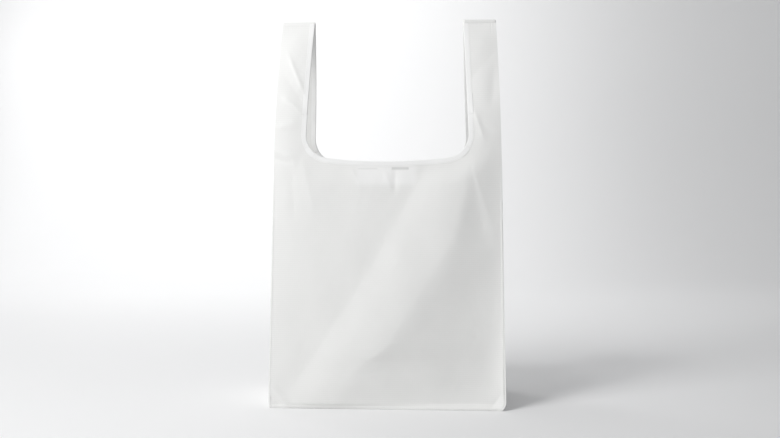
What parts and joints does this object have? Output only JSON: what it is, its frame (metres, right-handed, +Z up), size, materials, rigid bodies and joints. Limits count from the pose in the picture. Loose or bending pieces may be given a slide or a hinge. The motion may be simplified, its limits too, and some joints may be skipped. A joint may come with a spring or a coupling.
{
  "type": "reusable shopping bag",
  "caption": "White ripstop shopping bag of vest cut: gusseted body standing open, two loop handles rising from its shoulders, bound edges and a stow pouch inside.",
  "frame": {"origin": "middle of the base, on the surface that the bag stands on", "axes": "+X to the right along the bag's width, +Y to the back, +Z up; the front faces -Y"},
  "size_m": [0.39, 0.15, 0.65],
  "materials": {
    "ripstop": "satin",
    "binding_tape": "matte",
    "sewing_thread": "satin",
    "label_satin": "satin"
  },
  "bodies": {
    "bag_body": {"front_panel": "ripstop", "back_panel": "ripstop", "left_gusset": "ripstop", "right_gusset": "ripstop", "base_panel": "ripstop", "base_seam": "ripstop", "side_seams": "ripstop", "front_neck_binding": "binding_tape", "back_neck_binding": "binding_tape", "left_gusset_binding": "binding_tape", "right_gusset_binding": "binding_tape", "corner_tabs": "binding_tape", "neck_thread": "sewing_thread", "neck_label": "label_satin", "care_label": "label_satin"},
    "left_handle": {"left_front_strap": "ripstop", "left_back_strap": "ripstop", "left_top_seam": "ripstop", "left_handle_binding": "binding_tape", "left_binding_lap": "binding_tape", "left_handle_thread": "sewing_thread"},
    "right_handle": {"right_front_strap": "ripstop", "right_back_strap": "ripstop", "right_top_seam": "ripstop", "right_handle_binding": "binding_tape", "right_binding_lap": "binding_tape", "right_handle_thread": "sewing_thread"},
    "stow_pouch": {"pouch_back_layer": "ripstop", "pouch_front_layer": "ripstop", "pouch_mouth_hem": "binding_tape", "pouch_edge_binding": "binding_tape"}
  },
  "joints": [
    {"name": "left_handle_swing", "type": "hinge", "parent": "bag_body", "child": "left_handle", "pos_m": [-0.16105, 0, 0.445], "axis": [0, 1, 0], "range_deg": [-12, 38]},
    {"name": "right_handle_swing", "type": "hinge", "parent": "bag_body", "child": "right_handle", "pos_m": [0.16105, 0, 0.445], "axis": [0, -1, 0], "range_deg": [-12, 38]},
    {"name": "pouch_swing", "type": "hinge", "parent": "bag_body", "child": "stow_pouch", "pos_m": [0, -0.05225, 0.398], "axis": [1, 0, 0], "range_deg": [0, 150]}
  ]
}
